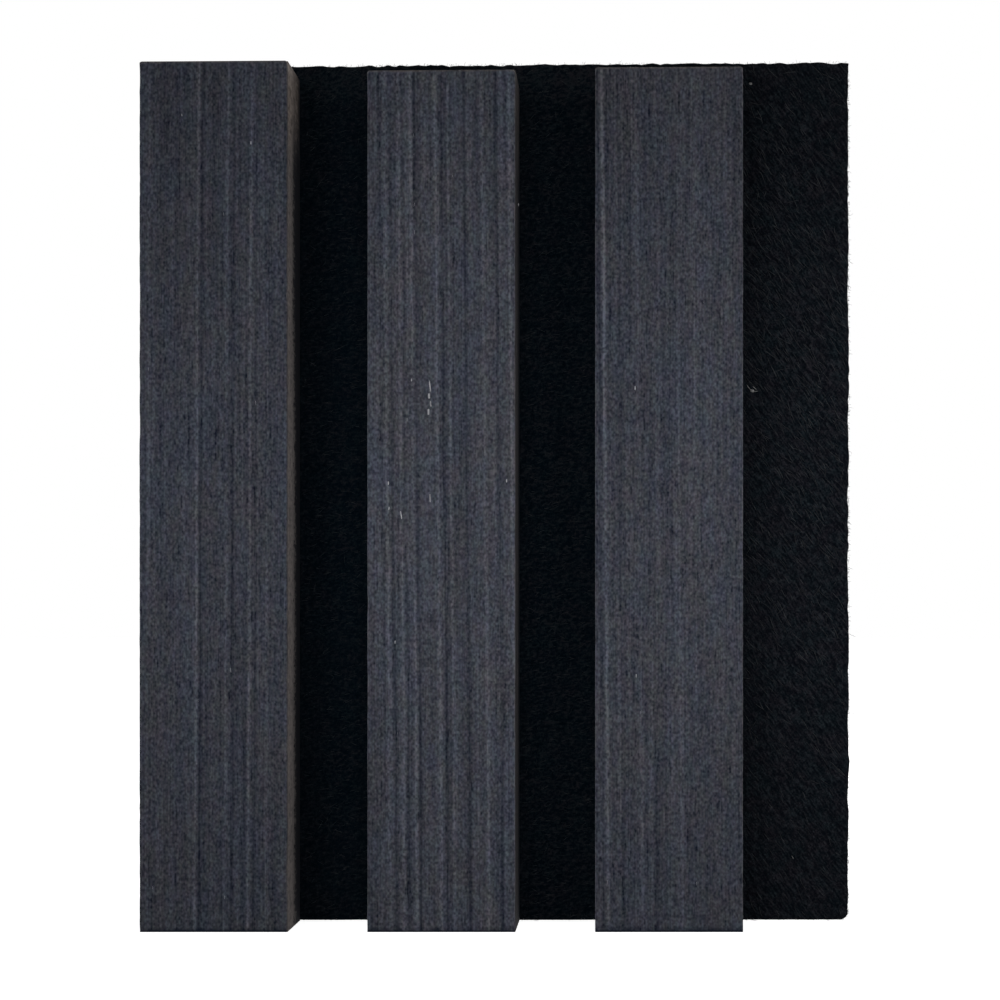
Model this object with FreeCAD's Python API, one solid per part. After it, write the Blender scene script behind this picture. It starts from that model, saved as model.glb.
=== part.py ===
"""Acoustic slat wall panel: a felt backing, three veneered slats and the staples that hold them.

The panel hangs upright on a wall. X runs to the right along the wall, Y runs into the wall and Z is up.
The origin is the middle of the wall face, so the felt lies at negative Y with the slats in front of it.
"""
import FreeCAD, Part
import math
import os

# Slats, all lengths in millimetres
SLAT_WIDTH = 26.0
SLAT_GAP = 14.0
CORE_THICKNESS = 11.4
VENEER_THICKNESS = 0.6
ARRIS_RADIUS = 0.35

# Felt backing, its height taken on the centre line
PANEL_HEIGHT = 156.0
FELT_THICKNESS = 9.0
FELT_MARGIN = 20.0
FELT_CORNER_RADIUS = 1.5

# Top cut, rising to the right, with each slat ending below the felt's edge
TOP_CUT_ANGLE = 0.35
LEFT_SETBACK = 2.75
MIDDLE_SETBACK = 4.6
RIGHT_SETBACK = 4.3

# Flat-wire staples driven from the wall side through the felt into each core
STAPLES_PER_SLAT = 2
STAPLE_END_INSET = 27.0
STAPLE_CROWN = 12.0
STAPLE_WIRE_WIDTH = 1.2
STAPLE_WIRE_THICKNESS = 0.6
STAPLE_BEND_RADIUS = 1.1
STAPLE_PENETRATION = 5.0
STAPLE_POINT_LENGTH = 1.4
STAPLE_SINK = 0.4

# Dimple that a staple's crown pulls into the felt
DIMPLE_EASE = 0.5
DIMPLE_FLARE = 0.9

# Shorter stretches than this are left out of an outline
SHORTEST_EDGE = 1e-6

SETBACKS = {"left": LEFT_SETBACK, "middle": MIDDLE_SETBACK, "right": RIGHT_SETBACK}
SLAT_PITCH = SLAT_WIDTH + SLAT_GAP
PANEL_WIDTH = len(SETBACKS) * SLAT_WIDTH + (len(SETBACKS) - 1) * SLAT_GAP + FELT_MARGIN
LEFT_EDGE = -PANEL_WIDTH / 2
RIGHT_EDGE = PANEL_WIDTH / 2
BOTTOM = -PANEL_HEIGHT / 2
FELT_FRONT = -FELT_THICKNESS
CORE_FRONT = FELT_FRONT - CORE_THICKNESS
DIMPLE_DEPTH = STAPLE_SINK + STAPLE_WIRE_THICKNESS / 2


def felt_top(x):
    """Height of the felt's top edge at x: half the panel's height at x = 0, tilted by the cut."""
    return PANEL_HEIGHT / 2 + x * math.tan(math.radians(TOP_CUT_ANGLE))


def rounded_wire(corners):
    """Closed wire through (point, radius) corners, with a tangent arc where the radius is above zero."""
    turns = []
    for index, (corner, radius) in enumerate(corners):
        back = FreeCAD.Vector(corners[index - 1][0] - corner).normalize()
        ahead = FreeCAD.Vector(corners[(index + 1) % len(corners)][0] - corner).normalize()
        half_angle = back.getAngle(ahead) / 2
        reach = radius / math.tan(half_angle)
        inward = (back + ahead).normalize()
        crest = corner + inward * (radius / math.sin(half_angle) - radius)
        turns.append((corner + back * reach, crest, corner + ahead * reach))
    edges = []
    for index, (start, crest, end) in enumerate(turns):
        previous_end = turns[index - 1][2]
        if previous_end.distanceToPoint(start) > SHORTEST_EDGE:
            edges.append(Part.LineSegment(previous_end, start).toShape())
        if start.distanceToPoint(end) > SHORTEST_EDGE:
            edges.append(Part.Arc(start, crest, end).toShape())
    return Part.Wire(edges)


def upright_slab(left, right, top, back, front, bottom_right_radius=0.0):
    """Slab from back to front whose outline has square sides and the sloping top given by top(x)."""
    corners = [
        (FreeCAD.Vector(left, back, BOTTOM), 0.0),
        (FreeCAD.Vector(right, back, BOTTOM), bottom_right_radius),
        (FreeCAD.Vector(right, back, top(right)), 0.0),
        (FreeCAD.Vector(left, back, top(left)), 0.0),
    ]
    face = Part.Face(rounded_wire(corners))
    return face.extrude(FreeCAD.Vector(0, front - back, 0))


def slat_core(left, top):
    """Fibreboard core of one slat, standing on the front of the felt."""
    return upright_slab(left, left + SLAT_WIDTH, top, FELT_FRONT, CORE_FRONT)


def slat_veneer(left, top):
    """Veneer sheet on the front of one core, its two long front edges eased."""
    front = CORE_FRONT - VENEER_THICKNESS
    sheet = upright_slab(left, left + SLAT_WIDTH, top, CORE_FRONT, front)
    long_edges = []
    for edge in sheet.Edges:
        box = edge.BoundBox
        upright = box.ZLength > box.XLength + box.YLength
        if upright and abs(box.YMax - front) < SHORTEST_EDGE:
            long_edges.append(edge)
    return sheet.makeFillet(ARRIS_RADIUS, long_edges)


def staple(x, z):
    """Bent flat wire centred at (x, z): crown along Z on the wall side, two chisel-pointed legs."""
    outer = STAPLE_CROWN / 2
    inner = outer - STAPLE_WIRE_THICKNESS
    crown_back = -STAPLE_SINK
    crown_front = crown_back - STAPLE_WIRE_THICKNESS
    tip = FELT_FRONT - STAPLE_PENETRATION
    shoulder = tip + STAPLE_POINT_LENGTH
    inner_radius = STAPLE_BEND_RADIUS - STAPLE_WIRE_THICKNESS
    outline = [
        (-outer, tip, 0.0),
        (-outer, crown_back, STAPLE_BEND_RADIUS),
        (outer, crown_back, STAPLE_BEND_RADIUS),
        (outer, tip, 0.0),
        (inner, shoulder, 0.0),
        (inner, crown_front, inner_radius),
        (-inner, crown_front, inner_radius),
        (-inner, shoulder, 0.0),
    ]
    side = x - STAPLE_WIRE_WIDTH / 2
    corners = [(FreeCAD.Vector(side, y, z + along), radius) for along, y, radius in outline]
    return Part.Face(rounded_wire(corners)).extrude(FreeCAD.Vector(STAPLE_WIRE_WIDTH, 0, 0))


def crown_outline(x, y, z, offset):
    """Outline of a staple's crown at depth y, grown all round by offset with rounded corners."""
    half_width = STAPLE_WIRE_WIDTH / 2 + offset
    half_length = STAPLE_CROWN / 2 + offset
    signs = ((-1, -1), (1, -1), (1, 1), (-1, 1))
    return rounded_wire(
        [(FreeCAD.Vector(x + across * half_width, y, z + along * half_length), offset) for across, along in signs]
    )


def dimple(x, z):
    """Tapered hollow in the wall face around one crown."""
    floor = crown_outline(x, -DIMPLE_DEPTH, z, DIMPLE_EASE)
    mouth = crown_outline(x, 0.0, z, DIMPLE_EASE + DIMPLE_FLARE)
    return Part.makeLoft([floor, mouth], True, True)


def staple_heights(length):
    """Heights of one slat's staples, evenly spaced between the insets from its ends."""
    span = length - 2 * STAPLE_END_INSET
    step = span / (STAPLES_PER_SLAT - 1)
    return [BOTTOM + STAPLE_END_INSET + index * step for index in range(STAPLES_PER_SLAT)]


def panel():
    """All pieces of the panel, by name."""
    pieces = {}
    felt = upright_slab(LEFT_EDGE, RIGHT_EDGE, felt_top, 0.0, FELT_FRONT, FELT_CORNER_RADIUS)
    for index, (side, setback) in enumerate(SETBACKS.items()):
        left = LEFT_EDGE + index * SLAT_PITCH
        middle = left + SLAT_WIDTH / 2

        def top(x):
            return felt_top(x) - setback

        heights = staple_heights(top(middle) - BOTTOM)
        staples = [staple(middle, z) for z in heights]
        dimples = [dimple(middle, z) for z in heights]
        felt = felt.cut(staples + dimples)
        pieces[side + "_slat_core"] = slat_core(left, top).cut(staples)
        pieces[side + "_slat_veneer"] = slat_veneer(left, top)
        pieces[side + "_slat_staples"] = Part.makeCompound(staples)
    pieces["felt_backing"] = felt
    return pieces


os.makedirs("parts", exist_ok=True)
for name, shape in panel().items():
    shape.exportStep("parts/" + name + ".step")
    print(name, "solids", len(shape.Solids), "volume", round(shape.Volume, 3), "valid", shape.isValid())
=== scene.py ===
"""Dressed model of an acoustic slat wall panel: felt, fuzz, veneers, fibreboard, staples and stage.

Lengths are metres in the panel's own frame: X to the right along the wall, Y into the wall, Z up.
"""

import math

import bpy
import numpy as np
from bpy.props import FloatProperty, FloatVectorProperty, IntProperty, PointerProperty
from bpy.types import Operator, Panel, PropertyGroup
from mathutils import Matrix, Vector


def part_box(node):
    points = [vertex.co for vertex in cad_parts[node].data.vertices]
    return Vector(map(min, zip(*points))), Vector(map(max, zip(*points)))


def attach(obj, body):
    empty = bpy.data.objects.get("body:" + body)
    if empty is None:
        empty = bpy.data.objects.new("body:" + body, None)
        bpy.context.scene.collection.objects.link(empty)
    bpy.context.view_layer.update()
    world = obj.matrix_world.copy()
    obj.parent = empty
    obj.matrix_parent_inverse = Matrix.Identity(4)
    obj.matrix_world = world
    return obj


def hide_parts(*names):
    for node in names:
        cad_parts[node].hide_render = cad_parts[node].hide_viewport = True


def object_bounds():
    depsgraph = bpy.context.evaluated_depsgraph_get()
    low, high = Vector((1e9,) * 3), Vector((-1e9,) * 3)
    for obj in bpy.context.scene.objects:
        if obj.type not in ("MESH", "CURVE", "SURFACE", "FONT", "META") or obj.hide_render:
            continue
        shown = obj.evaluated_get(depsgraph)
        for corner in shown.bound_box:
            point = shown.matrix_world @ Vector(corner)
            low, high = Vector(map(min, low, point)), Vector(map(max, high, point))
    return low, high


bl_info = {
    "name": "Acoustic slat wall panel",
    "version": (1, 0, 0),
    "blender": (4, 5, 0),
    "location": "3D View > Sidebar > Slat panel",
    "description": "Builds an acoustic slat wall panel's felt, veneers and finishes",
    "category": "Object",
}

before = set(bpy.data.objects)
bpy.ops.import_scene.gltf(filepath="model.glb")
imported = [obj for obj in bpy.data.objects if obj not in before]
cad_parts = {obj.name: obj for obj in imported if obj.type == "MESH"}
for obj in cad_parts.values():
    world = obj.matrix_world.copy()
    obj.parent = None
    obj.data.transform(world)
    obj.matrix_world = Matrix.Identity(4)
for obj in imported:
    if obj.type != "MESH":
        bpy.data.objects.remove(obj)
CAD_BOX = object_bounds()

MM = 0.001
# Points this close to a piece's side lie on it
AT_SIDE = 0.01 * MM
BODY = "root"
SIDES = ("left", "middle", "right")
FELT_LOW, FELT_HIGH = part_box("felt_backing")
SLAT_BOXES = {side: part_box(side + "_slat_veneer") for side in SIDES}
MARGIN_START = SLAT_BOXES["right"][1].x
CORE_BOXES = {side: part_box(side + "_slat_core") for side in SIDES}

# Main streaks of each face: millimetres from its left edge and tone, light above zero and dark below
STREAKS = {
    "left": ((1.5, 0.7), (10.1, 1.1), (10.8, -1.0), (12.7, -0.4), (15.3, 0.6), (16.4, -0.7), (18.7, -0.4),
             (19.4, 1.1), (20.4, -0.7), (22.5, 0.5)),
    "middle": ((2.7, -0.8), (3.6, 1.0), (4.6, -1.1), (6.0, 0.8), (6.8, -0.7), (8.2, 1.2), (8.9, -1.1),
               (12.5, 1.2), (13.6, -1.2), (14.3, -0.7), (14.8, 0.8), (17.6, -1.2), (20.8, 0.7), (23.2, -1.1),
               (25.5, 1.2)),
    "right": ((1.0, -0.5), (1.8, 1.2), (2.5, -0.4), (4.5, -0.6), (7.8, 0.4), (10.3, -0.3), (14.8, 0.4),
              (17.6, 0.4), (22.7, -0.3)),
}
# Slope of the grain on each face, sideways travel for each length going down
GRAIN_SLOPES = {"left": -0.0055, "middle": 0.0095, "right": 0.0085}
# Painted light along the left and the right edge of each face, a painted shade below zero and a painted
# highlight above, and how far the stain there is rubbed off
EDGE_SHADE_AND_HIGHLIGHT = {"left": (-1.6, 0.4), "middle": (2.2, 0.9), "right": (2.2, 1.7)}
EDGE_WEAR = {"left": (0.0, 0.85), "middle": (0.1, 0.45), "right": (0.05, 0.15)}
# Tone of each slat as a whole
SLAT_TONES = {"left": -0.12, "middle": 0.2, "right": 0.02}
# How far charcoal stain ran over the sides of each core
CORE_STAINS = {"left": 0.0, "middle": 0.6, "right": 0.6}
# Pale splinters in open pores, as x, z, length and radius in millimetres
SPLINTERS = ((-11.9, 17.8, 2.6, 0.24), (-12.1, 16.1, 1.2, 0.62), (-11.8, 14.7, 1.3, 0.42),
             (-12.2, 13.3, 1.4, 0.62), (-11.9, -1.8, 1.9, 0.36), (-17.0, -4.8, 1.9, 0.26),
             (-15.2, 18.9, 0.6, 0.30), (-19.3, 0.8, 0.8, 0.32), (-19.2, -3.6, 0.7, 0.30),
             (1.5, 1.2, 0.7, 0.30), (-18.1, -27.1, 0.7, 0.30), (-43.4, 60.5, 0.7, 0.30),
             (-55.5, 65.4, 0.6, 0.28), (24.0, 17.5, 0.9, 0.30), (24.2, -33.0, 0.8, 0.30))
SPLINTERS_PER_SLAT = 12
# Pale lint on the bare margin, as x and z of both ends and radius in millimetres
LINT = ((44.4, 19.7, 45.3, 18.4, 0.07), (45.0, 18.6, 45.8, 18.4, 0.30), (45.5, 19.4, 46.2, 18.6, 0.06),
        (45.5, 18.4, 46.5, 18.5, 0.06), (44.8, 74.5, 45.4, 74.4, 0.25), (52.6, -66.1, 52.9, -66.8, 0.06))
STREAK_WIDTH = 0.28 * MM
# Mesh columns on the flat of a veneer
FACE_COLUMNS = 150
# Tilt of the felt's fibres from level, in degrees
GAP_TILT = 8.0
MARGIN_TILT = -54.0
CROSSING_TILT = -42.0
# Places tried for each loose fibre on the front
TRIES_PER_FIBRE = 6
FIBRE_POINTS = 6
# Direction that no fibre runs along
OFF_AXIS = np.array([0.35, 0.86, 0.37])
# Room between a fibre's middle line and the panel's floor, wall face and side edges
FIBRE_ROOM = 0.05 * MM
TO_ROOM = np.array([0.0, -1.0, 0.0])
TO_WALL = np.array([0.0, 1.0, 0.0])
# Points along each side of the noise's table
LATTICE = 128
FUZZ_SEED = 700
FLECK_SEED = 810
# Lamps as place and size in metres and power in watts
LAMPS = {
    "left_lamp": ((-0.092, -0.098, 0.0), 0.06, 0.0217),
    "far_left_lamp": ((-0.148, -0.338, 0.0), 0.16, 0.118),
    "front_lamp": ((0.0, -0.141, 0.0), 0.06, 0.0288),
    "right_lamp": ((0.092, -0.098, 0.0), 0.06, 0.0405),
    "rear_lamp": ((0.1, 0.4, 0.2), 0.30, 1.2),
}
FLOOR_HALF = 4.0
PICTURE_PIXELS = 1000.0
SENSOR_WIDTH = 36.0


def length_setting(name, description, millimetres):
    """Length for a settings group, given in millimetres."""
    return FloatProperty(name=name, description=description, default=millimetres * MM, unit="LENGTH")


def colour_setting(name, description, red, green, blue):
    """Opaque colour or tint for a settings group."""
    return FloatVectorProperty(name=name, description=description, subtype="COLOR", size=4,
                               default=(red, green, blue, 1.0))


class FeltSettings(PropertyGroup):
    """Felt backing and its loose fibres."""
    step: length_setting("Grid step", "Spacing of the felt's mesh lines", 0.7)
    lump: length_setting("Lumps", "Height of the felt's soft lumps", 0.13)
    round: length_setting("Edge round", "Rounding of the cut edges", 0.45)
    waviness: length_setting("Edge waviness", "Sideways wander of the knife cut", 0.12)
    corner: length_setting("Worn corner", "Radius of the bottom right corner", 1.5)
    dimple: length_setting("Dimple depth", "Depth of the dimple at a staple", 0.75)
    fibre: length_setting("Fibre radius", "Radius of a loose fibre", 0.022)
    front_fibres: IntProperty(name="Front fibres", description="Loose fibres on the front", default=3600)
    edge_fibres: IntProperty(name="Edge fibres", description="Hairs along the cut edges", default=4200)
    back_fibres: IntProperty(name="Back fibres", description="Loose fibres on the wall face", default=3000)
    dark: colour_setting("Dark fibres", "Colour between the fibres", 0.0025, 0.0036, 0.0057)
    light: colour_setting("Light fibres", "Colour of the raised fibres", 0.0222, 0.0255, 0.0310)
    loose: colour_setting("Loose fibres", "Colour of the lightest loose fibres", 0.0330, 0.0355, 0.0405)
    # Darker, bluer copies of the felt's colours for the gaps between the slats: painted shade
    gap_shade_dark: colour_setting("Dark gap fibres", "Colour between the gap fibres", 0.0004, 0.0035, 0.0067)
    gap_shade_light: colour_setting("Light gap fibres", "Colour of the raised gap fibres", 0.0135, 0.0165, 0.0205)
    maroon: colour_setting("Reddish fibres", "Tint of the redder fibres", 1.17, 0.975, 1.0)
    teal: colour_setting("Greenish fibres", "Tint of the greener fibres", 0.85, 1.03, 1.015)
    lint: colour_setting("Lint", "Colour of pale lint", 0.28, 0.28, 0.28)


class VeneerSettings(PropertyGroup):
    """Charcoal veneer on the slat faces."""
    arris: length_setting("Arris", "Radius of the eased long edges", 0.35)
    wear: length_setting("Edge wear", "Wander of the long edges", 0.08)
    corner: length_setting("Corner", "Radius of the rubbed top corners", 0.45)
    step: length_setting("Row step", "Spacing of the mesh rows along a slat", 0.6)
    relief: length_setting("Grain relief", "Depth of the grain", 0.02)
    dark: colour_setting("Dark grain", "Colour of the dark grain", 0.0030, 0.0053, 0.0133)
    light: colour_setting("Light grain", "Colour of the light grain", 0.1280, 0.1350, 0.1630)
    warm: colour_setting("Warm tint", "Tint of the warmer patches", 1.07, 1.0, 0.93)
    cool: colour_setting("Cool tint", "Tint of the cooler patches", 0.93, 1.0, 1.07)
    violet: colour_setting("Violet tint", "Tint of the patches with more red and blue", 1.03, 0.95, 1.03)
    green: colour_setting("Green tint", "Tint of the patches with more green", 0.97, 1.05, 0.97)
    # Also the colour of the painted highlight along the slats' top ends
    worn: colour_setting("Worn edge", "Bare wood where the stain is rubbed off", 0.140, 0.122, 0.115)
    splinter: colour_setting("Splinters", "Colour of pale splinters in open pores", 0.44, 0.44, 0.47)


class BoardSettings(PropertyGroup):
    """Fibreboard cores of the slats."""
    dark: colour_setting("Dark fibres", "Colour of the dark wood fibres", 0.085, 0.070, 0.062)
    light: colour_setting("Light fibres", "Colour of the light wood fibres", 0.340, 0.292, 0.262)
    # This stain colour also paints the shade at the foot of the sides
    stain: colour_setting("Stain", "Charcoal stain that ran down the sides", 0.009, 0.010, 0.014)
    haze: colour_setting("Haze", "Grey sanding dust on the raw sides", 0.150, 0.150, 0.165)


class StapleSettings(PropertyGroup):
    """Galvanised flat wire of the staples."""
    zinc: colour_setting("Zinc", "Colour of the bright wire", 0.44, 0.44, 0.43)
    dull: colour_setting("Dull zinc", "Colour of the dulled wire", 0.20, 0.20, 0.195)


class StageSettings(PropertyGroup):
    """Floor, lamps and camera."""
    camera_x: length_setting("Camera X", "Camera's place along the wall", 22.8)
    camera_z: length_setting("Camera Z", "Camera's height", -22.7)
    distance: length_setting("Distance", "Camera's distance from the slat faces", 308.0)
    scale: FloatProperty(name="Scale", description="Pixels to a millimetre at the slat faces", default=5.7)
    middle_x: length_setting("Middle X", "Place at the middle of the picture", 0.33)
    middle_z: length_setting("Middle Z", "Height at the middle of the picture", -2.15)
    ambient: FloatProperty(name="Ambient", description="Strength of the light from all round", default=0.2)


class SlatPanelSettings(PropertyGroup):
    """All settings of the slat panel."""
    felt: PointerProperty(type=FeltSettings)
    veneer: PointerProperty(type=VeneerSettings)
    board: PointerProperty(type=BoardSettings)
    staple: PointerProperty(type=StapleSettings)
    stage: PointerProperty(type=StageSettings)


def ease(t):
    """Cubic ease from 0 to 1: three t squared less two t cubed, with t held between 0 and 1."""
    t = np.clip(t, 0.0, 1.0)
    return t * t * (3.0 - 2.0 * t)


def soft_noise(a, b, seed):
    """Value noise: random heights from -1 to 1 on a unit lattice, eased from each point to the next."""
    table = np.random.default_rng(seed).uniform(-1.0, 1.0, (LATTICE, LATTICE))
    a, b = np.broadcast_arrays(a, b)
    cell_a, cell_b = np.floor(a).astype(int), np.floor(b).astype(int)
    share_a, share_b = ease(a - cell_a), ease(b - cell_b)
    a0, a1 = cell_a % LATTICE, (cell_a + 1) % LATTICE
    b0, b1 = cell_b % LATTICE, (cell_b + 1) % LATTICE
    low = table[a0, b0] * (1 - share_a) + table[a1, b0] * share_a
    high = table[a0, b1] * (1 - share_a) + table[a1, b1] * share_a
    return low * (1 - share_b) + high * share_b


def layered_noise(a, b, seed, layers=3):
    """Sum of soft noises, each layer twice as fine and half as high as the one before."""
    return sum(soft_noise(a * 2**i, b * 2**i, seed + i) / 2**i for i in range(layers))


def grid_quads(rows, columns):
    """Corner numbers of the quads of a grid of points, row by row."""
    corner = (np.arange(rows - 1)[:, None] * columns + np.arange(columns - 1)).ravel()
    return np.stack([corner, corner + 1, corner + columns + 1, corner + columns], axis=1)


def loop_quads(first, second):
    """Quads between two closed loops of points, given as corner numbers in the same order."""
    return np.stack([first, np.roll(first, -1), np.roll(second, -1), second], axis=1)


def border(rows, columns):
    """Corner numbers round the edge of a grid: along the first row, up, back along the last and down."""
    index = np.arange(rows * columns).reshape(rows, columns)
    return np.concatenate([index[0, :-1], index[:-1, -1], index[-1, :0:-1], index[:0:-1, 0]])


def new_piece(name, points, polygon_sets, material, slot):
    """Mesh object made from an array of points and arrays of polygons, smooth, riding on the panel."""
    mesh = bpy.data.meshes.new(name)
    corners = np.concatenate([polygons.ravel() for polygons in polygon_sets]).astype(np.int32)
    sizes = np.concatenate([np.full(len(polygons), polygons.shape[1]) for polygons in polygon_sets])
    mesh.vertices.add(len(points))
    mesh.vertices.foreach_set("co", points.astype(np.float32).ravel())
    mesh.loops.add(len(corners))
    mesh.loops.foreach_set("vertex_index", corners)
    mesh.polygons.add(len(sizes))
    mesh.polygons.foreach_set("loop_start", (np.cumsum(sizes) - sizes).astype(np.int32))
    mesh.update(calc_edges=True)
    mesh.shade_smooth()
    mesh.materials.append(material)
    piece = bpy.data.objects.new(name, mesh)
    bpy.context.scene.collection.objects.link(piece)
    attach(piece, BODY)
    return piece


def set_attribute(piece, name, values):
    """Stores one number for each point of a piece under a name that its finish reads."""
    attribute = piece.data.attributes.new(name, "FLOAT", "POINT")
    attribute.data.foreach_set("value", values.astype(np.float32).ravel())


def refinish(node, material):
    """Gives a CAD node one material in place of its own."""
    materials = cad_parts[node].data.materials
    materials.clear()
    materials.append(material)


def cad_points(node):
    """Points of a CAD node's mesh as an array."""
    points = np.empty(len(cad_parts[node].data.vertices) * 3)
    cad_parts[node].data.vertices.foreach_get("co", points)
    return points.reshape(-1, 3)


def top_edge(node, x):
    """Height at x of a node's straight top edge, through its highest points at both sides."""
    points = cad_points(node)
    left, right = points[:, 0].min(), points[:, 0].max()
    left_top = points[points[:, 0] < left + AT_SIDE, 2].max()
    right_top = points[points[:, 0] > right - AT_SIDE, 2].max()
    slope = (right_top - left_top) / (right - left)
    return left_top - slope * left + slope * x


def staple_crowns():
    """Middle and half length of every crown, as rows of x, z and half length, from the staples' points."""
    crowns = []
    for side in SIDES:
        points = cad_points(side + "_slat_staples")
        middle = (points[:, 2].min() + points[:, 2].max()) / 2
        for half in (points[points[:, 2] < middle], points[points[:, 2] > middle]):
            low, high = half.min(axis=0), half.max(axis=0)
            crowns.append(((low[0] + high[0]) / 2, (low[2] + high[2]) / 2, (high[2] - low[2]) / 2))
    return crowns


class Tone:
    """A socket that takes part in Python expressions: each operation on it adds its Math node."""

    def __init__(self, finish, socket):
        self.finish = finish
        self.socket = socket

    def __add__(self, other):
        return self.finish.math("ADD", self, other)

    __radd__ = __add__

    def __sub__(self, other):
        return self.finish.math("SUBTRACT", self, other)

    def __rsub__(self, other):
        return self.finish.math("SUBTRACT", other, self)

    def __mul__(self, other):
        return self.finish.math("MULTIPLY", self, other)

    __rmul__ = __mul__

    def __truediv__(self, other):
        return self.finish.math("DIVIDE", self, other)


class Finish:
    """One node tree of a material or a world, with short ways to add its nodes."""

    def __init__(self, owner):
        self.owner = owner
        owner.use_nodes = True
        self.tree = owner.node_tree
        self.tree.nodes.clear()
        self.place = None

    def node(self, kind, sockets=None, output=0, **settings):
        """Adds a node: its settings first, then the values or links of its sockets. Gives one output."""
        made = self.tree.nodes.new(kind)
        for key, value in settings.items():
            setattr(made, key, value)
        for key, value in (sockets or {}).items():
            if isinstance(value, Tone):
                self.tree.links.new(value.socket, made.inputs[key])
            else:
                made.inputs[key].default_value = value
        return Tone(self, made.outputs[output]) if made.outputs else None

    def math(self, operation, first, second):
        """Math node on two numbers or sockets."""
        return self.node("ShaderNodeMath", {0: first, 1: second}, operation=operation)

    def step(self, value, low, high):
        """0 below low, 1 above high and a smooth rise between them."""
        return self.node("ShaderNodeMapRange", {"Value": value, "From Min": low, "From Max": high},
                         interpolation_type="SMOOTHSTEP")

    def mix(self, share, first, second, blend="MIX"):
        """Colour that goes from first to second, or to their blend, as share goes from 0 to 1."""
        return self.node("ShaderNodeMix", {0: share, 6: first, 7: second}, 2,
                         data_type="RGBA", blend_type=blend)

    def noise(self, scale, tilt=0.0, detail=2.0, roughness=0.5):
        """Noise with its own number of spots to the metre along each axis, tilted in the wall's plane."""
        turn = (0.0, math.radians(tilt), 0.0)
        turned = self.node("ShaderNodeMapping", {"Vector": self.place, "Rotation": turn})
        spread = self.node("ShaderNodeVectorMath", {0: turned, 1: scale}, operation="MULTIPLY")
        return self.node("ShaderNodeTexNoise", {"Vector": spread, "Scale": 1.0, "Detail": detail,
                                                "Roughness": roughness})

    def tint(self, colour, share, first, second):
        """Colour multiplied by a tint that goes from first to second as share rises."""
        return self.mix(1.0, colour, self.mix(self.step(share, 0.35, 0.65), first, second), "MULTIPLY")

    def along(self, axis):
        """One coordinate of the place on the piece."""
        return self.node("ShaderNodeSeparateXYZ", {0: self.place}, axis)

    def surface(self, colour, roughness, bump, specular=0.5, metallic=0.0):
        """Ends the material in one shader. bump is a height, the depth that it spans and its strength."""
        normal = self.node("ShaderNodeBump", dict(zip(("Height", "Distance", "Strength"), bump)))
        shader = self.node("ShaderNodeBsdfPrincipled", {
            "Base Color": colour, "Roughness": roughness, "Normal": normal,
            "Specular IOR Level": specular, "Metallic": metallic,
        })
        self.node("ShaderNodeOutputMaterial", {"Surface": shader})
        return self.owner

    def seen(self):
        """1 for what the eye sees straight, in a mirror or through glass, and 0 for light on its way."""
        rays = [self.node("ShaderNodeLightPath", output=kind)
                for kind in ("Is Camera Ray", "Is Glossy Ray", "Is Transmission Ray")]
        return self.math("MAXIMUM", self.math("MAXIMUM", rays[0], rays[1]), rays[2])


def new_finish(name):
    """Empty material with the node helper round it and the place on the piece at hand."""
    finish = Finish(bpy.data.materials.new(name))
    finish.place = finish.node("ShaderNodeTexCoord", output="Object")
    return finish


def felt_finish(settings):
    """Black needled felt: crossing fibres, level in the gaps and falling to the right on the margin."""
    finish = new_finish("black_needled_felt")
    across = finish.along("X")
    beside = finish.step(across, MARGIN_START - 1.0 * MM, MARGIN_START + 1.0 * MM)
    behind = finish.step(finish.along("Y"), FELT_LOW.y + 1.0 * MM, FELT_LOW.y + 3.0 * MM)
    gap = (1.0 - beside) * (1.0 - behind)
    level = finish.noise((1300.0, 1500.0, 2400.0), GAP_TILT, detail=0.5)
    falling = finish.noise((850.0, 1500.0, 2900.0), MARGIN_TILT, detail=0.5)
    crossing = finish.noise((2900.0, 1500.0, 1300.0), CROSSING_TILT, detail=0.5)
    grain = finish.noise((3600.0, 3600.0, 3600.0), detail=0.5)
    fibres = level * gap + falling * (1.0 - gap)
    mesh = fibres * 0.46 + crossing * 0.17 + grain * 0.37
    # Painted light: the top of each gap, where light reaches past the slat tops, is lighter
    lit_gap_top = finish.step(finish.along("Z"), FELT_HIGH.z - 9.0 * MM, FELT_HIGH.z - 3.0 * MM) * gap
    raised = finish.step(mesh, 0.30, 0.78)
    # Painted light: the felt in the gap right of the middle slat is lighter
    lit_right_gap = finish.step(across, SLAT_BOXES["middle"][0].x, SLAT_BOXES["middle"][1].x) * gap
    tone = raised * (0.35 + raised * 0.65) * (1.0 + lit_gap_top * 1.2 + lit_right_gap * 0.3) + lit_gap_top * 0.1
    # The gaps take darker, bluer copies of the felt's colours: painted shade
    dark = finish.mix(gap, settings.dark, settings.gap_shade_dark)
    light = finish.mix(gap, settings.light, settings.gap_shade_light)
    cast = finish.noise((260.0, 260.0, 260.0), detail=5.0, roughness=0.9)
    colour = finish.tint(finish.mix(tone, dark, light), cast, settings.teal, settings.maroon)
    return finish.surface(colour, 0.95, (mesh, 0.35 * MM, 0.8), specular=0.02)


def fuzz_finish(settings):
    """Single felt fibres: the felt's own black, a little lighter from one fibre to the next."""
    finish = new_finish("loose_felt_fibres")
    share = finish.noise((900.0, 900.0, 900.0), detail=1.0)
    colour = finish.mix(finish.step(share, 0.35, 0.65), settings.dark, settings.loose)
    return finish.surface(colour, 0.8, (share, 0.02 * MM, 0.3), specular=0.3)


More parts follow.
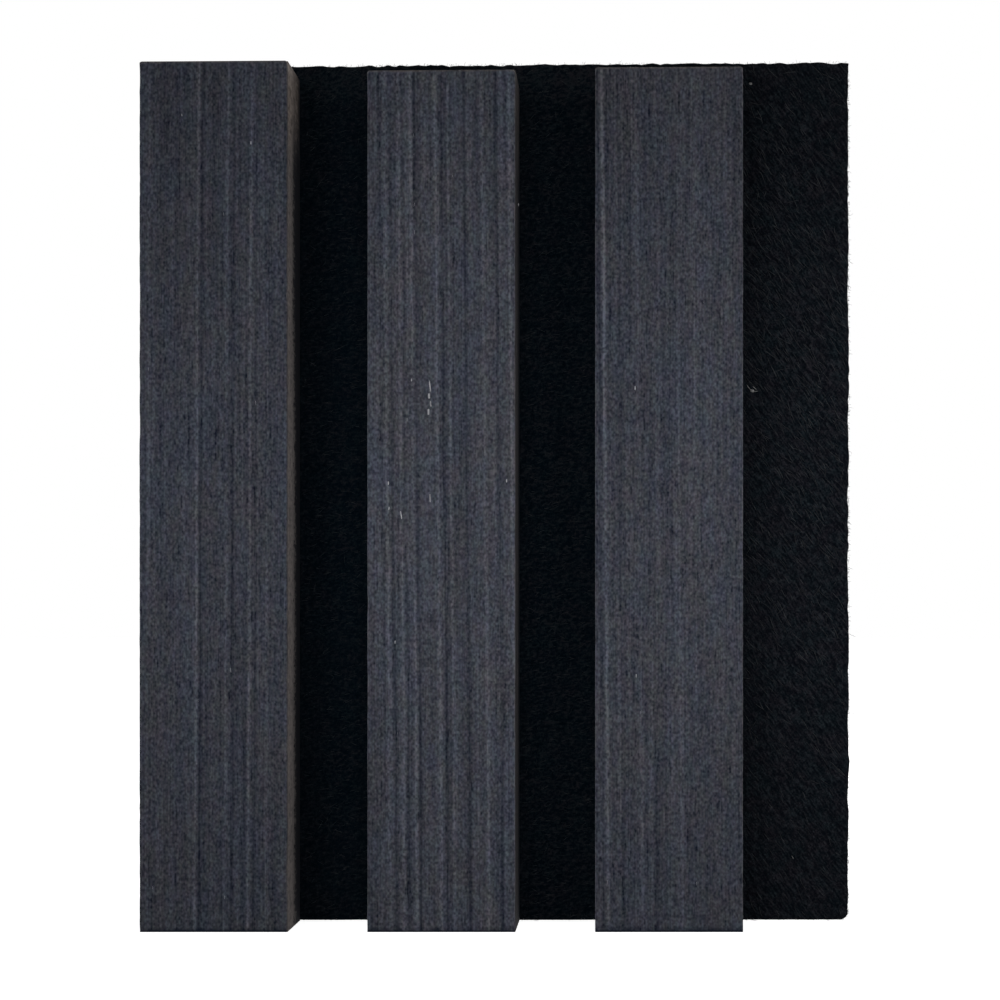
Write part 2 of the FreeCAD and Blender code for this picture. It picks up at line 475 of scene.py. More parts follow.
def veneer_finish(settings):
    """Charcoal-stained veneer: streaks stored on the piece, fine upright grain, mottling and open pores."""
    finish = new_finish("charcoal_veneer")
    streaks, wear, rim = (finish.node("ShaderNodeAttribute", output="Fac", attribute_name=name)
                          for name in ("grain", "wear", "rim"))
    lines = finish.noise((3000.0, 900.0, 40.0), detail=1.0)
    mottle = finish.noise((2650.0, 1500.0, 2050.0), detail=0.5)
    pore = finish.step(finish.noise((3000.0, 1500.0, 300.0), detail=0.5), 0.64, 0.76)
    dash = finish.step(finish.noise((2600.0, 1500.0, 480.0), detail=0.5), 0.56, 0.68)
    dash = dash * finish.step(streaks, 0.1, 0.9)
    ragged = (finish.noise((1900.0, 1500.0, 1700.0), detail=1.0) - 0.5) * rim
    mottling = (mottle - 0.5) * (0.62 + streaks * 0.2)
    base = 0.35 + streaks * 0.19 + (lines - 0.5) * 0.26 + mottling + ragged * 0.9
    tone = base * (0.7 + base * 0.85) + dash * 0.22 - pore * 0.12
    colour = finish.mix(tone, settings.dark, settings.light)
    warmth = finish.noise((170.0, 170.0, 60.0), detail=5.0, roughness=0.9)
    colour = finish.tint(colour, warmth, settings.cool, settings.warm)
    hue = finish.noise((380.0, 380.0, 190.0), detail=4.0, roughness=0.9)
    colour = finish.tint(colour, hue, settings.green, settings.violet)
    # wear mixes in the worn colour: rubbed stain on the long edges, and a painted highlight along the top
    # end
    colour = finish.mix(wear * (0.5 + mottle), colour, settings.worn)
    height = lines * 0.4 + mottle * 0.5 - pore * 0.6
    roughness = 0.8 - mottle * 0.12 + pore * 0.1
    return finish.surface(colour, roughness, (height, 0.07 * MM, 0.6), specular=0.08)


def pale_finish(name, colour):
    """Pale wood or textile fibre, a little uneven in tone."""
    finish = new_finish(name)
    share = finish.noise((1500.0, 1500.0, 900.0), detail=1.0)
    tone = finish.mix(finish.step(share, 0.3, 0.7) * 0.5, colour, (0.08, 0.08, 0.085, 1.0))
    return finish.surface(tone, 0.8, (share, 0.02 * MM, 0.3), specular=0.2)


def board_finish(settings, side):
    """Raw fibreboard: fibres matted in layers along the board, with patches of charcoal stain on its sides
    and painted shade on them that is darkest at their foot and stops short of the top."""
    finish = new_finish(side + "_fibreboard")
    fibres = finish.noise((500.0, 1900.0, 420.0), detail=3.0)
    specks = finish.noise((1500.0, 700.0, 1500.0), detail=2.0)
    patches = finish.noise((90.0, 300.0, 45.0))
    low, high = CORE_BOXES[side]
    depth = (finish.along("Y") - low.y) / (high.y - low.y)
    # Painted shade: the raw board darkens towards the felt
    tone = fibres * 0.42 + specks * 0.58 - finish.step(depth, 0.62, 1.0) * 0.25
    raw = finish.mix(finish.step(tone, 0.28, 0.72), settings.dark, settings.light)
    height = finish.along("Z")
    ragged = height + (patches - 0.5) * (12.0 * MM) + (specks - 0.5) * (5.0 * MM)
    # Painted shade on the sides: darkest at the foot by the felt, reaching further forward above mid-height,
    # weaker on each core's left face, and fading out near the open top, where light reaches in
    lit_top = finish.step(ragged, high.z - 18.0 * MM, high.z - 6.0 * MM)
    upper = finish.step(height, 0.0, 40.0 * MM) * 0.12
    foot = finish.step(depth + (specks - 0.5) * 0.7 + upper, 0.38, 0.68) * (0.97 - lit_top * 0.75)
    outer = 1.0 - finish.step(finish.along("X"), low.x, low.x + 1.0 * MM)
    foot = foot * (1.0 - outer * 0.6)
    # Narrow line of painted shade along the felt
    foot = finish.math("MAXIMUM", foot, finish.step(depth, 0.72, 1.0) * 0.95)
    # The stain colour paints both the real stain patches and the painted shade at the foot
    run = finish.math("MAXIMUM", finish.step(patches + CORE_STAINS[side], 0.62, 1.0) * 0.85, foot)
    dusty = finish.mix(0.4 - lit_top * 0.4, raw, settings.haze)
    colour = finish.mix(run, dusty, settings.stain)
    return finish.surface(colour, 0.9, (tone, 0.10 * MM, 0.7), specular=0.1)


def staple_finish(settings):
    """Galvanised wire: bright zinc with duller cloudy patches and fine drawing lines along the crown."""
    finish = new_finish("galvanised_wire")
    clouds = finish.noise((1500.0, 1500.0, 400.0), detail=3.0)
    lines = finish.noise((9000.0, 9000.0, 150.0), detail=1.0)
    colour = finish.mix(finish.step(clouds, 0.4, 0.65), settings.zinc, settings.dull)
    roughness = 0.3 + clouds * 0.3
    return finish.surface(colour, roughness, (lines, 0.02 * MM, 0.4), metallic=1.0)


def felt_outline(u, v, inset, settings):
    """Place on the felt's face for shares u across and v up, drawn in from its cut edges by inset.

    x and z run straight between the edges, the top slopes as the CAD felt's does, and inside the bottom
    right corner the square cell is pressed to a quarter circle: each share times the root of one less
    half the other share squared.
    """
    x = FELT_LOW.x + inset + u * (FELT_HIGH.x - FELT_LOW.x - 2 * inset)
    top = top_edge("felt_backing", x) - inset
    z = FELT_LOW.z + inset + v * (top - FELT_LOW.z - inset)
    radius = settings.corner
    across = np.clip((x - (FELT_HIGH.x - inset - radius)) / radius, 0.0, 1.0)
    down = np.clip(((FELT_LOW.z + inset + radius) - z) / radius, 0.0, 1.0)
    in_corner = (across > 0) & (down > 0)
    round_x = FELT_HIGH.x - inset - radius + radius * across * np.sqrt(1 - down**2 / 2)
    round_z = FELT_LOW.z + inset + radius - radius * down * np.sqrt(1 - across**2 / 2)
    return np.where(in_corner, round_x, x), np.where(in_corner, round_z, z)


def cut_wander(x, y, z, settings):
    """Sideways wander of the cut edges: noise along each edge, fading out within a few millimetres of it.

    The top and the right edge have finer notches too. The left edge lies flush with the left slat and the
    bottom stands on the floor, so both wander inwards only.
    """
    fade = 4.0 * MM
    depth = y / (4.0 * MM)
    right = ease(1 - (FELT_HIGH.x - x) / fade)
    left = ease(1 - (x - FELT_LOW.x) / fade)
    top = ease(1 - (top_edge("felt_backing", x) - z) / fade)
    bottom = ease(1 - (z - FELT_LOW.z) / fade)
    along_z, along_x = z / (7.0 * MM), x / (7.0 * MM)
    reach = settings.waviness
    notches_z, notches_x = soft_noise(z / (1.4 * MM), depth, 12), soft_noise(x / (1.1 * MM), depth, 32)
    shift_x = reach * right * (layered_noise(along_z, depth, 11, 4) + notches_z)
    shift_x = shift_x + reach * left * np.maximum(1 + layered_noise(along_z, depth, 21, 4), 0.0) / 2
    shift_z = reach * top * (0.7 * layered_noise(along_x, depth, 31, 4) + 1.7 * notches_x)
    shift_z = shift_z + reach * bottom * np.maximum(1 + layered_noise(along_x, depth, 41, 4), 0.0) / 2
    return x + shift_x, z + shift_z


def open_share(x, z):
    """1 where the felt's front is open and 0 under a slat, eased over the first millimetre beside it."""
    covered = np.zeros_like(x)
    for side in SIDES:
        low, high = SLAT_BOXES[side]
        beside = np.minimum(x - low.x, high.x - x)
        below = top_edge(side + "_slat_veneer", x) - z
        covered = np.maximum(covered, ease(1 + np.minimum(beside, below) / (1.0 * MM)))
    return 1 - covered


def felt_front(x, z, settings):
    """Depth of the felt's front: flat under the slats, elsewhere soft lumps of two sizes that swell out."""
    small = layered_noise(x / (2.6 * MM), z / (2.6 * MM), 51, 2)
    large = layered_noise(x / (9 * MM), z / (9 * MM), 61, 2)
    return FELT_LOW.y - settings.lump * open_share(x, z) * (0.6 + (small + large))


def felt_back(x, z, settings):
    """Depth of the wall face: small hollows in a flat face, with a long dimple round each staple's crown.

    A dimple's depth eases to nothing with the distance from the crown's line.
    """
    hollows = np.abs(layered_noise(x / (3 * MM), z / (3 * MM), 71, 2))
    y = FELT_HIGH.y - settings.lump * (0.4 + 0.6 * hollows)
    for crown_x, crown_z, half in staple_crowns():
        beyond = np.maximum(np.abs(z - crown_z) - half, 0.0)
        away = np.hypot(x - crown_x, beyond)
        y = y - settings.dimple * ease((2.6 * MM - away) / (1.5 * MM))
    return y


def felt_slab(settings):
    """Closed felt slab: a front grid, a back grid and loops of points between their borders.

    The loops follow a side profile that is a quarter circle at the front and the back and straight between,
    so the cut edge bulges out by the edge round.
    """
    columns = round((FELT_HIGH.x - FELT_LOW.x) / settings.step) + 1
    rows = round((FELT_HIGH.z - FELT_LOW.z) / settings.step) + 1
    u, v = np.meshgrid(np.linspace(0, 1, columns), np.linspace(0, 1, rows))
    x, z = felt_outline(u, v, settings.round, settings)
    front_x, front_z = cut_wander(x, np.full_like(x, FELT_LOW.y), z, settings)
    back_x, back_z = cut_wander(x, np.full_like(x, FELT_HIGH.y), z, settings)
    front = np.stack([front_x, felt_front(front_x, front_z, settings), front_z], axis=-1).reshape(-1, 3)
    back = np.stack([back_x, felt_back(back_x, back_z, settings), back_z], axis=-1).reshape(-1, 3)

    edge = border(rows, columns)
    quarter = np.linspace(0, math.pi / 2, 4)[1:]
    straight = np.linspace(FELT_LOW.y + settings.round, FELT_HIGH.y - settings.round, 11)[1:-1]
    sunk, drawn_in = settings.round * (1 - np.cos(quarter)), settings.round * (1 - np.sin(quarter))
    depths = np.concatenate([FELT_LOW.y + sunk, straight, FELT_HIGH.y - sunk[::-1]])
    insets = np.concatenate([drawn_in, np.zeros(len(straight)), drawn_in[::-1]])
    edge_u, edge_v = u.ravel()[edge], v.ravel()[edge]
    loop_x, loop_z = felt_outline(edge_u, edge_v, insets[:, None], settings)
    loop_y = np.broadcast_to(depths[:, None], loop_x.shape)
    loop_x, loop_z = cut_wander(loop_x, loop_y, loop_z, settings)
    sides = np.stack([loop_x, loop_y, loop_z], axis=-1)

    points = np.concatenate([front, back, sides.reshape(-1, 3)])
    front_quads = grid_quads(rows, columns)
    back_quads = front_quads[:, ::-1] + len(front)
    between = len(front) + len(back) + np.arange(loop_x.size).reshape(loop_x.shape)
    loops = [edge, *between, edge + len(front)]
    side_quads = [loop_quads(second, first) for first, second in zip(loops, loops[1:])]
    return points, [front_quads, back_quads, *side_quads]


def fibre_tubes(paths, radii):
    """Closed three-sided tubes along paths of shape (fibres, points, 3), pointed at both ends.

    Each ring is the path's point plus the fibre's radius times the cosine and sine of three even angles
    along two directions square to the path.
    """
    fibres, count, _ = paths.shape
    ahead = np.gradient(paths, axis=1)
    ahead /= np.linalg.norm(ahead, axis=2, keepdims=True)
    aside = np.cross(ahead, OFF_AXIS)
    aside /= np.linalg.norm(aside, axis=2, keepdims=True)
    above = np.cross(ahead, aside)
    angles = np.arange(3) * 2 * math.pi / 3
    aside, above = aside[:, 1:-1, None, :], above[:, 1:-1, None, :]
    spokes = np.cos(angles)[:, None] * aside + np.sin(angles)[:, None] * above
    rings = paths[:, 1:-1, None, :] + radii[:, None, None, None] * spokes
    points = np.concatenate([paths[:, :1], rings.reshape(fibres, -1, 3), paths[:, -1:]], axis=1)

    each = points.shape[1]
    ring = 1 + np.arange(3)
    turned = np.roll(ring, -1)
    tips = [np.stack([np.zeros(3, int), turned, ring], axis=1),
            np.stack([np.full(3, each - 1), ring + each - 5, turned + each - 5], axis=1)]
    walls = [loop_quads(ring, ring + 3) + 3 * i for i in range(count - 3)]
    starts = np.arange(fibres)[:, None, None] * each
    triangles = (np.concatenate(tips) + starts).reshape(-1, 3)
    quads = (np.concatenate(walls) + starts).reshape(-1, 4)
    return points.reshape(-1, 3), [triangles, quads]


def curled_paths(start, ahead, lift, length, curl, rng, arch=0.12):
    """Fibres that leave start along ahead: a straight run, a sideways sine curl and an arch along lift."""
    t = np.linspace(0, 1, FIBRE_POINTS)[None, :, None]
    aside = np.cross(ahead, lift)
    phase = rng.uniform(0, 2 * math.pi, (len(start), 1, 1))
    turns = rng.uniform(0.6, 1.6, (len(start), 1, 1))
    wave = np.sin(phase + turns * math.pi * t) - np.sin(phase)
    rise = np.sin(math.pi * t) * rng.uniform(0.4, 1.0, (len(start), 1, 1))
    length = length[:, None, None]
    run = ahead[:, None, :] * length * t
    sway = aside[:, None, :] * (curl * length * wave)
    return start[:, None, :] + run + sway + lift * (arch * length * rise)


def lying(tilt):
    """Directions in the wall's plane at angles from level."""
    return np.stack([np.cos(tilt), np.zeros(len(tilt)), np.sin(tilt)], axis=1)


def keep_in(paths, right=math.inf):
    """Moves fibre points that pass the panel's left edge, its floor or a right limit back to it."""
    paths[..., 0] = np.clip(paths[..., 0], FELT_LOW.x + FIBRE_ROOM, right)
    paths[..., 2] = np.maximum(paths[..., 2], FELT_LOW.z + FIBRE_ROOM)


def front_fibres(settings, rng):
    """Loose fibres on the open front of the felt: level in the gaps, falling to the right on the margin."""
    count = settings.front_fibres
    tries = count * TRIES_PER_FIBRE
    x = rng.uniform(FELT_LOW.x, FELT_HIGH.x, tries)
    z = rng.uniform(FELT_LOW.z, FELT_HIGH.z - 1.0 * MM, tries)
    margin = x > MARGIN_START
    falling = 0.12 + 0.38 * ease(0.8 + z / (60 * MM)) - 0.25 * ease(z / (30 * MM) - 1.3)
    kept = np.where(margin, falling, 0.38)
    free = (open_share(x, z) > 0.95) & (rng.uniform(size=tries) < kept)
    x, z, margin = (each[free][:count] for each in (x, z, margin))
    tilt = np.where(margin, rng.normal(MARGIN_TILT, 10, len(x)), rng.normal(GAP_TILT, 18, len(x)))
    stray = rng.uniform(size=len(x)) < 0.04
    tilt = np.radians(np.where(stray, rng.uniform(-90, 90, len(x)), tilt))
    size = np.where(margin, 1.7, 1.0)
    length = rng.uniform(0.6, 1.9, len(x)) * size * MM
    start = np.stack([x, felt_front(x, z, settings), z], axis=1)
    ahead = lying(tilt)
    start -= ahead * length[:, None] / 2
    paths = curled_paths(start, ahead, TO_ROOM, length, 0.04, rng, arch=0.06)
    keep_in(paths, FELT_HIGH.x - FIBRE_ROOM)
    front = felt_front(paths[..., 0], paths[..., 2], settings)
    paths[..., 1] = np.minimum(paths[..., 1], front - 0.01 * MM)
    return paths, size * rng.uniform(0.7, 1.3, len(x)) * settings.fibre


def edge_fibres(settings, rng):
    """Hairs that stand out of the cut edges, most of them along the top and the right edge."""
    count = settings.edge_fibres
    edge = rng.choice(4, count, p=(0.45, 0.33, 0.15, 0.07))
    share = rng.uniform(0, 1, count)
    x = FELT_LOW.x + share * (FELT_HIGH.x - FELT_LOW.x)
    z = FELT_LOW.z + share * (FELT_HIGH.z - FELT_LOW.z)
    x = np.choose(edge, (FELT_HIGH.x, x, x, FELT_LOW.x))
    z = np.choose(edge, (z, top_edge("felt_backing", x), FELT_LOW.z, z))
    y = rng.uniform(FELT_LOW.y, FELT_HIGH.y, count)
    y = np.where(rng.uniform(size=count) < 0.45, FELT_LOW.y + np.abs(rng.normal(0, 0.8, count)) * MM, y)
    outward = np.array([[1.0, 0, 0], [0, 0, 1.0], [0, 0, -1.0], [-1.0, 0, 0]])[edge]
    sideways = np.abs(outward[:, ::-1])
    lean = rng.normal(0, 0.9, count)[:, None]
    ahead = outward + lean * sideways + rng.normal(0, 0.25, count)[:, None] * TO_WALL
    ahead /= np.linalg.norm(ahead, axis=1, keepdims=True)
    reach = np.where(edge < 2, 1.0, 0.4)
    length = rng.gamma(2.0, 0.11, count)
    length = length * np.where(rng.uniform(size=count) < 0.015, 1.8, 1.0) * reach * MM + 0.35 * MM
    start = np.stack([x, y, z], axis=1) - outward * 0.3 * MM
    paths = curled_paths(start, ahead, TO_ROOM, length, 0.2, rng)
    keep_in(paths)
    paths[..., 1] = np.minimum(paths[..., 1], FELT_HIGH.y - FIBRE_ROOM)
    return paths, rng.uniform(0.7, 1.3, count) * settings.fibre


def back_fibres(settings, rng):
    """Loose fibres lying in all directions on the wall face."""
    count = settings.back_fibres
    x = rng.uniform(FELT_LOW.x + 2 * MM, FELT_HIGH.x - 2 * MM, count)
    z = rng.uniform(FELT_LOW.z + 2 * MM, FELT_HIGH.z - 4 * MM, count)
    tilt = rng.uniform(0, 2 * math.pi, count)
    length = rng.uniform(1.2, 4.5, count) * MM
    ahead = lying(tilt)
    start = np.stack([x, np.zeros(count), z], axis=1) - ahead * length[:, None] / 2
    paths = curled_paths(start, ahead, TO_WALL, length, 0.18, rng)
    keep_in(paths, FELT_HIGH.x - FIBRE_ROOM)
    paths[..., 1] = felt_back(paths[..., 0], paths[..., 2], settings) + 0.02 * MM
    return paths, rng.uniform(0.7, 1.3, count) * settings.fibre


def grain_tone(x, z, side):
    """Tone of the veneer at x and z: the face's main streaks, each a bell curve across the grain that fades
    in and out along it, plus finer streaks from noise stretched along the grain."""
    low, high = SLAT_BOXES[side]
    seed = 100 * (1 + SIDES.index(side))
    middle = (low.z + high.z) / 2
    wander = 0.12 * MM * soft_noise(z / (38 * MM), x / (30 * MM), seed)
    across = x - low.x + GRAIN_SLOPES[side] * (z - middle) + wander
    tone = SLAT_TONES[side] + 0.25 * layered_noise(across / (0.8 * MM), z / (55 * MM), seed + 1, 2)
    for index, (place, strength) in enumerate(STREAKS[side]):
        fade = 0.75 + 0.35 * soft_noise(z / (22 * MM), index + 0.5, seed + 5)
        tone = tone + strength * fade * np.exp(-(((across - place * MM) / STREAK_WIDTH) ** 2))
    return tone


def veneer_sheet(side, settings):
    """Closed veneer sheet: a profile across the slat carried from its bottom to its sloping top.

    The profile runs over the front between two quarter-circle arrises, whose radius and place wander with
    height, and returns along the flat back; the front sinks by the relief where the grain is dark. The two
    top corners fall away as quarter circles. Gives points, polygons and the values that its finish reads.
    """
    low, high = SLAT_BOXES[side]
    seed = 300 + 10 * SIDES.index(side)
    close = np.array([0.0, 0.07, 0.16, 0.27, 0.5]) * MM
    tall = high.z - low.z
    between = np.linspace(1.0 * MM, tall - 1.0 * MM, round(tall / settings.step))
    z_even = (low.z + np.concatenate([close, between, tall - close[::-1]]))[:, None]
    rows = len(z_even)
    v = (z_even - low.z) / tall
    nick = np.maximum(soft_noise(z_even / (1.3 * MM), 0.5, seed) - 0.55, 0.0)
    radius = settings.arris * (1 + 0.35 * layered_noise(z_even / (6 * MM), 1.5, seed + 1)) + nick * 1.0 * MM
    radius = np.clip(radius, 0.12 * MM, 0.55 * MM)
    left = low.x + settings.wear * np.abs(layered_noise(z_even / (5 * MM), 2.5, seed + 2, 4))
    right = high.x - settings.wear * np.abs(layered_noise(z_even / (5 * MM), 3.5, seed + 3, 4))
    turn = np.linspace(0, math.pi / 2, 5)[None, :-1]
    flat = np.linspace(0, 1, FACE_COLUMNS)[None, :]
    drawn_in, sunk = radius * (1 - np.cos(turn)), radius * (1 - np.sin(turn))
    level = left + radius + flat * (right - left - 2 * radius)
    front_x = np.concatenate([left + drawn_in, level, right - drawn_in[:, ::-1]], axis=1)
    drop = np.concatenate([sunk, np.zeros_like(level), sunk[:, ::-1]], axis=1)
    from_side = np.clip(np.minimum(front_x - left, right - front_x), 0.0, settings.corner)
    fall = settings.corner - np.sqrt(settings.corner**2 - (settings.corner - from_side) ** 2)
    z = low.z + v * (top_edge(side + "_slat_veneer", front_x) - fall - low.z)
    from_end = np.minimum(z_even - low.z, high.z - z_even)
    end_round = 0.25 * MM
    short = np.clip(end_round - from_end, 0.0, end_round)
    end_drop = end_round - np.sqrt(end_round**2 - short**2)
    rim = ease(1.3 * drop / settings.arris)
    drop = np.maximum(drop, end_drop)
    tone = grain_tone(front_x, z, side)
    front_y = low.y + drop - settings.relief * np.minimum(tone, 0.0) * (drop == 0)
    patchy = 0.6 + 0.4 * layered_noise(front_x / (1.4 * MM), z / (1.4 * MM), seed + 4, 2)
    on_left = front_x < (low.x + high.x) / 2
    upper = z_even > (low.z + high.z) / 2
    end_rim = ease(1.0 - from_end / (np.where(upper, 0.45, 0.7) * MM))
    # Painted highlights along the arrises, and a painted shade along the left slat's left arris
    tone = tone + patchy * rim * np.where(on_left, *EDGE_SHADE_AND_HIGHLIGHT[side])
    # Painted highlight along the top end, and a painted shade along the bottom end
    tone = tone + end_rim * np.where(upper, patchy, -3.0)
    # Along the long edges wear is rubbed stain; along the top end it paints the highlight in the worn colour
    wear = patchy * (rim * np.where(on_left, *EDGE_WEAR[side]) + end_rim * np.where(upper, 1.1, 0.0))
    rim = np.maximum(rim, end_rim)
    ends = [-1, 0]
    front = np.stack([front_x, front_y, z], axis=-1)
    back = np.stack([front_x[:, ends], np.full((rows, 2), high.y), z[:, ends]], axis=-1)
    points = np.concatenate([front, back], axis=1)
    values = {"grain": tone, "wear": np.clip(wear, 0.0, 1.0), "rim": rim}
    values = {name: np.concatenate([each, each[:, ends]], axis=1) for name, each in values.items()}

    loops = np.arange(points.shape[0] * points.shape[1]).reshape(points.shape[:2])
    walls = [loop_quads(lower, upper) for lower, upper in zip(loops, loops[1:])]
    caps = [loops[:1, ::-1], loops[-1:]]
    return points.reshape(-1, 3), [*walls, *caps], values


def laid_strands(ends, y, rng):
    """Strands laid almost straight on a face at depth y, between ends in rows of x, z, x and z."""
    start = np.insert(ends[:, :2], 1, y, axis=1)
    run = np.insert(ends[:, 2:] - ends[:, :2], 1, 0.0, axis=1)
    length = np.linalg.norm(run, axis=1)
    return curled_paths(start, run / length[:, None], TO_ROOM, length, 0.03, rng, arch=0.03)


def splinter_ends(rng):
    """Ends and radii of the named splinters and of small ones along each slat's light streaks, all leaning a
    little from upright."""
    marks = list(SPLINTERS)
    for side in SIDES:
        low, high = SLAT_BOXES[side]
        light = [place for place, strength in STREAKS[side] if strength > 0]
        for place in rng.choice(light, SPLINTERS_PER_SLAT):
            x = low.x / MM + place + rng.normal(0, 0.5)
            z = rng.uniform(low.z / MM + 4, high.z / MM - 4)
            marks.append((x, z, rng.uniform(0.35, 1.1), rng.uniform(0.03, 0.07)))
    marks = np.array(marks) * MM
    lean = rng.normal(0, 0.06, len(marks))
    half = np.stack([np.sin(lean), np.cos(lean)], axis=1) * marks[:, 2:3] / 2
    return np.concatenate([marks[:, :2] - half, marks[:, :2] + half], axis=1), marks[:, 3]


class SLATPANEL_OT_felt(Operator):
    """Builds the felt backing with its lumps, cut edges and dimples"""
    bl_idname = "slat_panel.felt"
    bl_label = "Felt backing"

    def execute(self, context):
        settings = context.scene.slat_panel.felt
        felt = new_piece("felt_pad", *felt_slab(settings), felt_finish(settings), "felt")
        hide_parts("felt_backing")
        return {"FINISHED"}


class SLATPANEL_OT_fuzz(Operator):
    """Adds the loose fibres on the felt's front, edges and wall face"""
    bl_idname = "slat_panel.fuzz"
    bl_label = "Felt fibres"

    def execute(self, context):
        settings = context.scene.slat_panel.felt
        material = fuzz_finish(settings)
        makers = {"felt_front_fibres": front_fibres, "felt_edge_fibres": edge_fibres,
                  "felt_back_fibres": back_fibres}
        for seed, (name, maker) in enumerate(makers.items(), FUZZ_SEED):
            paths, radii = maker(settings, np.random.default_rng(seed))
            new_piece(name, *fibre_tubes(paths, radii), material, "felt")
        return {"FINISHED"}


class SLATPANEL_OT_veneers(Operator):
    """Builds the charcoal veneer on each slat"""
    bl_idname = "slat_panel.veneers"
    bl_label = "Veneers"

    def execute(self, context):
        settings = context.scene.slat_panel.veneer
        material = veneer_finish(settings)
        for side in SIDES:
            points, polygons, values = veneer_sheet(side, settings)
            veneer = new_piece(side + "_veneer", points, polygons, material, "veneer")
            for name, each in values.items():
                set_attribute(veneer, name, each)
            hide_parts(side + "_slat_veneer")
        return {"FINISHED"}


class SLATPANEL_OT_flecks(Operator):
    """Adds the pale splinters on the veneers and the lint on the felt"""
    bl_idname = "slat_panel.flecks"
    bl_label = "Splinters and lint"

    def execute(self, context):
        settings = context.scene.slat_panel
        rng = np.random.default_rng(FLECK_SEED)
        ends, radii = splinter_ends(rng)
        paths = laid_strands(ends, SLAT_BOXES["left"][0].y + 0.02 * MM, rng)
        paths[..., 1] += 0.5 * radii[:, None]
        material = pale_finish("pale_splinters", settings.veneer.splinter)
        new_piece("veneer_splinters", *fibre_tubes(paths, radii), material, "veneer")
        lint = np.array(LINT) * MM
        paths = laid_strands(lint[:, :4], FELT_LOW.y - 0.2 * MM, rng)
        material = pale_finish("pale_lint", settings.felt.lint)
        new_piece("felt_lint", *fibre_tubes(paths, lint[:, 4]), material, "felt")
        return {"FINISHED"}


class SLATPANEL_OT_cores(Operator):
    """Finishes the fibreboard cores"""
    bl_idname = "slat_panel.cores"
    bl_label = "Fibreboard cores"

    def execute(self, context):
        settings = context.scene.slat_panel.board
        for side in SIDES:
            refinish(side + "_slat_core", board_finish(settings, side))
        return {"FINISHED"}


class SLATPANEL_OT_staples(Operator):
    """Finishes the staples"""
    bl_idname = "slat_panel.staples"
    bl_label = "Staples"

    def execute(self, context):
        material = staple_finish(context.scene.slat_panel.staple)
        for side in SIDES:
            refinish(side + "_slat_staples", material)
        return {"FINISHED"}


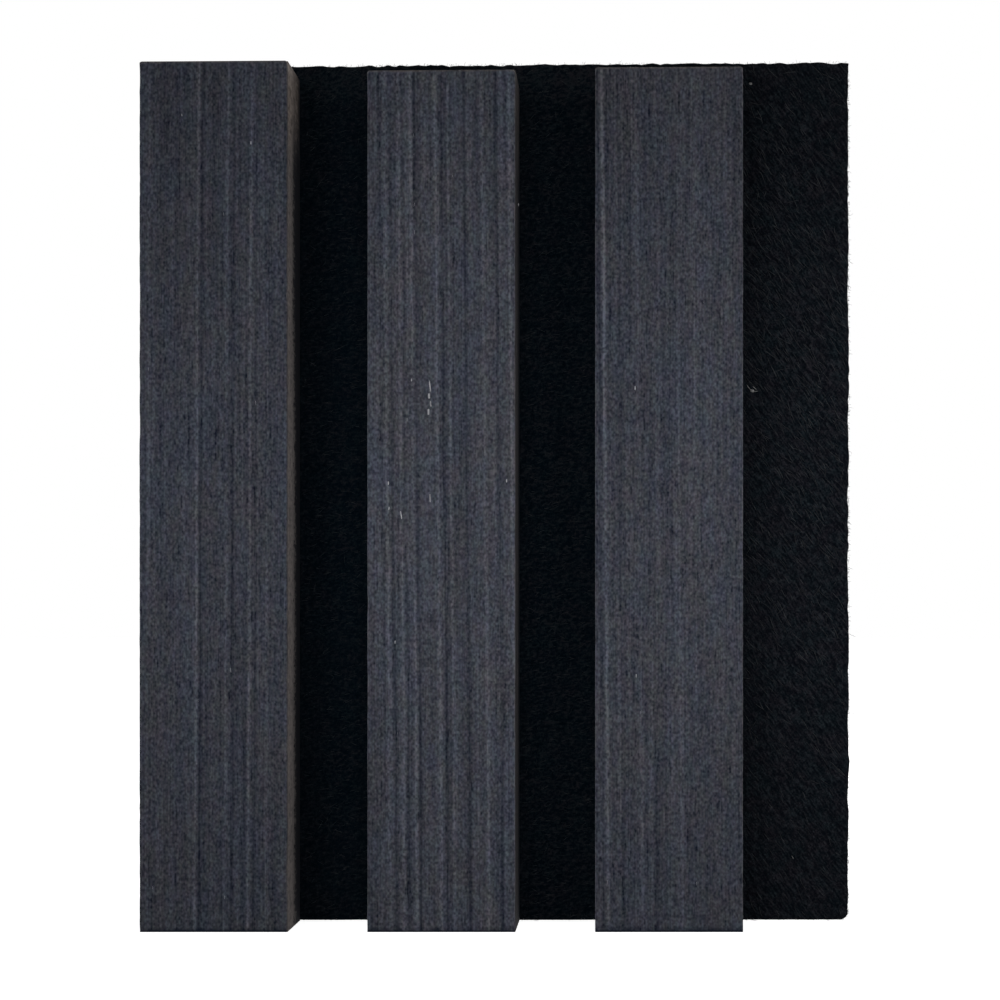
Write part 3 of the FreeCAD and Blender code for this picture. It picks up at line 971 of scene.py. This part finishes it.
class SLATPANEL_OT_stage(Operator):
    """Sets the floor, the world, the lamps and the camera"""
    bl_idname = "slat_panel.stage"
    bl_label = "Stage"

    def execute(self, context):
        settings = context.scene.slat_panel.stage
        self.floor()
        self.world(context.scene, settings)
        self.lamps(context.scene)
        self.camera(context.scene, settings)
        context.scene.view_settings.view_transform = "Standard"
        return {"FINISHED"}

    def floor(self):
        """Square floor at the panel's foot, lifted to white where the camera looks, shadows kept."""
        half, z = FLOOR_HALF, CAD_BOX[0].z
        mesh = bpy.data.meshes.new("floor")
        mesh.from_pydata([(-half, -half, z), (half, -half, z), (half, half, z), (-half, half, z)], [],
                         [(0, 1, 2, 3)])
        floor = bpy.data.objects.new("floor", mesh)
        bpy.context.scene.collection.objects.link(floor)
        finish = new_finish("pale_floor")
        away = finish.node("ShaderNodeVectorMath", {0: finish.place}, "Value", operation="LENGTH")
        white = finish.seen() * (0.9 + finish.step(away, 0.12, 0.4) * 0.1)
        glow = finish.node("ShaderNodeEmission", {"Color": white})
        matt = finish.node("ShaderNodeBsdfDiffuse", {"Color": (0.8, 0.8, 0.8, 1.0)})
        both = finish.node("ShaderNodeAddShader", {0: glow, 1: matt})
        finish.node("ShaderNodeOutputMaterial", {"Surface": both})
        mesh.materials.append(finish.owner)

    def world(self, scene, settings):
        """White background to the eye, soft grey light from all round to everything else."""
        world = bpy.data.worlds.new("studio")
        scene.world = world
        sky = Finish(world)
        white = settings.ambient + sky.seen() * (1.0 - settings.ambient)
        light = sky.node("ShaderNodeBackground", {"Color": white})
        sky.node("ShaderNodeOutputWorld", {"Surface": light})

    def lamps(self, scene):
        """Broad soft lamps aimed at the middle of the panel."""
        aim = Vector((0.0, CAD_BOX[0].y, 0.0))
        for name, (place, size, power) in LAMPS.items():
            light = bpy.data.lights.new(name, "AREA")
            light.size = size
            light.energy = power
            lamp = bpy.data.objects.new(name, light)
            scene.collection.objects.link(lamp)
            lamp.location = place
            lamp.rotation_euler = (aim - lamp.location).to_track_quat("-Z", "Y").to_euler()
            lamp.visible_camera = False

    def camera(self, scene, settings):
        """Level camera square to the panel, its lens shifted to place the panel in the picture."""
        data = bpy.data.cameras.new("camera")
        camera = bpy.data.objects.new("camera", data)
        scene.collection.objects.link(camera)
        camera.location = (settings.camera_x, CAD_BOX[0].y - settings.distance, settings.camera_z)
        camera.rotation_euler = (math.pi / 2, 0.0, 0.0)
        frame_width = PICTURE_PIXELS / settings.scale * MM
        data.sensor_width = SENSOR_WIDTH
        data.lens = SENSOR_WIDTH * settings.distance / frame_width
        data.shift_x = (settings.middle_x - settings.camera_x) / frame_width
        data.shift_y = (settings.middle_z - settings.camera_z) / frame_width
        data.clip_start = 0.01
        scene.camera = camera


class SLATPANEL_PT_sidebar(Panel):
    """Lists the steps that build the slat panel"""
    bl_label = "Slat panel"
    bl_space_type = "VIEW_3D"
    bl_region_type = "UI"
    bl_category = "Slat panel"

    def draw(self, context):
        for step in STEPS:
            self.layout.operator(step.bl_idname)


STEPS = (SLATPANEL_OT_felt, SLATPANEL_OT_fuzz, SLATPANEL_OT_veneers, SLATPANEL_OT_flecks,
         SLATPANEL_OT_cores, SLATPANEL_OT_staples, SLATPANEL_OT_stage)
CLASSES = (FeltSettings, VeneerSettings, BoardSettings, StapleSettings, StageSettings, SlatPanelSettings,
           *STEPS, SLATPANEL_PT_sidebar)


def register():
    for each in CLASSES:
        bpy.utils.register_class(each)
    bpy.types.Scene.slat_panel = PointerProperty(type=SlatPanelSettings)


def unregister():
    del bpy.types.Scene.slat_panel
    for each in reversed(CLASSES):
        bpy.utils.unregister_class(each)


def main():
    """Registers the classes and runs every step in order."""
    register()
    steps = bpy.ops.slat_panel
    steps.felt()
    steps.fuzz()
    steps.veneers()
    steps.flecks()
    steps.cores()
    steps.staples()
    steps.stage()


if __name__ == "__main__":
    main()
